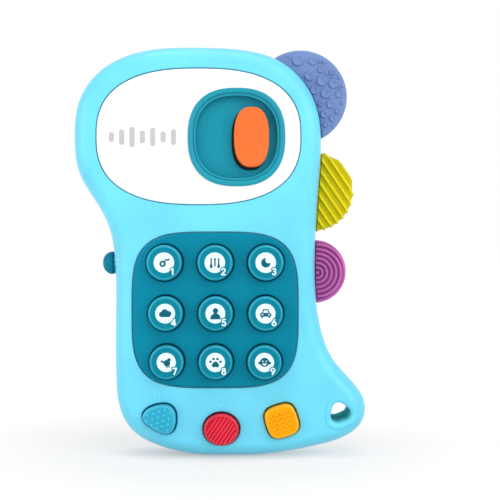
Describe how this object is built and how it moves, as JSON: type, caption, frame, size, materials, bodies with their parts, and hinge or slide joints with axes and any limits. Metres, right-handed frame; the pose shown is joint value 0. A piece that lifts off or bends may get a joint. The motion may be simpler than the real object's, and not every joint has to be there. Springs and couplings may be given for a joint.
{
  "type": "toy cell phone",
  "caption": "Toy cell phone in a curved two-shell case with keypad, textured buttons, a sliding knob in its head, soft teething discs and a lanyard hole.",
  "frame": {"origin": "middle of the base, with the phone standing upright on its bottom edge", "axes": "+Z along the phone's length, its face looks towards -Y, +X towards the teething discs"},
  "size_m": [0.1072, 0.0308, 0.15],
  "materials": {
    "shell_cyan": "satin moulded",
    "panel_white": "gloss moulded",
    "teal_plastic": "satin moulded",
    "plate_teal": "satin moulded",
    "knob_orange": "satin moulded",
    "key_teal": "satin moulded",
    "button_blue": "soft matt",
    "button_red": "soft matt",
    "button_yellow": "soft matt",
    "silicone_blue": "matt silicone",
    "silicone_lime": "matt silicone",
    "silicone_purple": "matt silicone",
    "switch_teal": "satin moulded",
    "inner_white": "as moulded",
    "membrane_grey": "matt silicone",
    "board_green": "solder mask",
    "black_plastic": "as moulded",
    "steel": "plated",
    "speaker_paper": "matt paper cone",
    "battery_wrap": "gloss sleeve",
    "wire_red": "insulation",
    "wire_black": "insulation"
  },
  "bodies": {
    "case": {"front_shell": "shell_cyan", "rear_shell": "shell_cyan", "screen_panel": "panel_white", "slider_bezel": "teal_plastic", "keypad_panel": "teal_plastic", "teether_bubbles": "silicone_blue", "teether_ridges": "silicone_lime", "teether_rings": "silicone_purple", "slider_retainer": "inner_white", "key_membrane": "membrane_grey", "main_board": "board_green", "tact_switch_1": "black_plastic", "tact_switch_2": "black_plastic", "tact_switch_3": "black_plastic", "chip_blob": "black_plastic", "capacitor": "black_plastic", "power_switch": "steel", "detent_spring": "steel", "speaker_basket": "steel", "speaker_magnet": "steel", "battery_spring_1": "steel", "battery_spring_2": "steel", "contact_bridge": "steel", "contact_plus": "steel", "contact_minus": "steel", "case_screw_1": "steel", "case_screw_2": "steel", "case_screw_3": "steel", "case_screw_4": "steel", "case_screw_5": "steel", "board_screw_1": "steel", "board_screw_2": "steel", "retainer_screw_1": "steel", "retainer_screw_2": "steel", "speaker_cone": "speaker_paper", "battery_1": "battery_wrap", "battery_2": "battery_wrap", "battery_lead_red": "wire_red", "speaker_lead_1": "wire_red", "battery_lead_black": "wire_black", "speaker_lead_2": "wire_black"},
    "battery_door": {"battery_door": "shell_cyan"},
    "door_screw": {"door_screw": "steel"},
    "eye_slider": {"eye_slider": "knob_orange", "slider_plate": "plate_teal", "slider_clip": "inner_white", "slider_skirt": "black_plastic"},
    "switch_knob": {"switch_knob": "switch_teal"},
    "key_1": {"key_1": "key_teal"},
    "key_2": {"key_2": "key_teal"},
    "key_3": {"key_3": "key_teal"},
    "key_4": {"key_4": "key_teal"},
    "key_5": {"key_5": "key_teal"},
    "key_6": {"key_6": "key_teal"},
    "key_7": {"key_7": "key_teal"},
    "key_8": {"key_8": "key_teal"},
    "key_9": {"key_9": "key_teal"},
    "button_dots": {"button_dots": "button_blue"},
    "button_stripes": {"button_stripes": "button_red"},
    "button_zigzag": {"button_zigzag": "button_yellow"}
  },
  "joints": [
    {"name": "battery_door_hinge", "type": "hinge", "parent": "case", "child": "battery_door", "pos_m": [-0.001, 0.015, 0.0205], "axis": [-1, 0, 0], "range_deg": [0, 75]},
    {"name": "door_screw_spin", "type": "hinge", "parent": "battery_door", "child": "door_screw", "pos_m": [-0.001, 0.0146, 0.082], "axis": [0, 1, 0], "continuous": true},
    {"name": "eye_slide", "type": "slide", "parent": "case", "child": "eye_slider", "axis": [-1, 0, 0], "range_m": [0, 0.011]},
    {"name": "switch_slide", "type": "slide", "parent": "case", "child": "switch_knob", "axis": [0, 0, 1], "range_m": [-0.002, 0.002]},
    {"name": "key_1_press", "type": "slide", "parent": "case", "child": "key_1", "axis": [0, 1, 0], "range_m": [0, 0.0015], "stiffness_N_per_m": 300, "springref_m": -0.002},
    {"name": "key_2_press", "type": "slide", "parent": "case", "child": "key_2", "axis": [0, 1, 0], "range_m": [0, 0.0015], "stiffness_N_per_m": 300, "springref_m": -0.002},
    {"name": "key_3_press", "type": "slide", "parent": "case", "child": "key_3", "axis": [0, 1, 0], "range_m": [0, 0.0015], "stiffness_N_per_m": 300, "springref_m": -0.002},
    {"name": "key_4_press", "type": "slide", "parent": "case", "child": "key_4", "axis": [0, 1, 0], "range_m": [0, 0.0015], "stiffness_N_per_m": 300, "springref_m": -0.002},
    {"name": "key_5_press", "type": "slide", "parent": "case", "child": "key_5", "axis": [0, 1, 0], "range_m": [0, 0.0015], "stiffness_N_per_m": 300, "springref_m": -0.002},
    {"name": "key_6_press", "type": "slide", "parent": "case", "child": "key_6", "axis": [0, 1, 0], "range_m": [0, 0.0015], "stiffness_N_per_m": 300, "springref_m": -0.002},
    {"name": "key_7_press", "type": "slide", "parent": "case", "child": "key_7", "axis": [0, 1, 0], "range_m": [0, 0.0015], "stiffness_N_per_m": 300, "springref_m": -0.002},
    {"name": "key_8_press", "type": "slide", "parent": "case", "child": "key_8", "axis": [0, 1, 0], "range_m": [0, 0.0015], "stiffness_N_per_m": 300, "springref_m": -0.002},
    {"name": "key_9_press", "type": "slide", "parent": "case", "child": "key_9", "axis": [0, 1, 0], "range_m": [0, 0.0015], "stiffness_N_per_m": 300, "springref_m": -0.002},
    {"name": "button_dots_press", "type": "slide", "parent": "case", "child": "button_dots", "axis": [0, 1, 0], "range_m": [0, 0.0012], "stiffness_N_per_m": 300, "springref_m": -0.002},
    {"name": "button_stripes_press", "type": "slide", "parent": "case", "child": "button_stripes", "axis": [0, 1, 0], "range_m": [0, 0.0012], "stiffness_N_per_m": 300, "springref_m": -0.002},
    {"name": "button_zigzag_press", "type": "slide", "parent": "case", "child": "button_zigzag", "axis": [0, 1, 0], "range_m": [0, 0.0012], "stiffness_N_per_m": 300, "springref_m": -0.002}
  ]
}
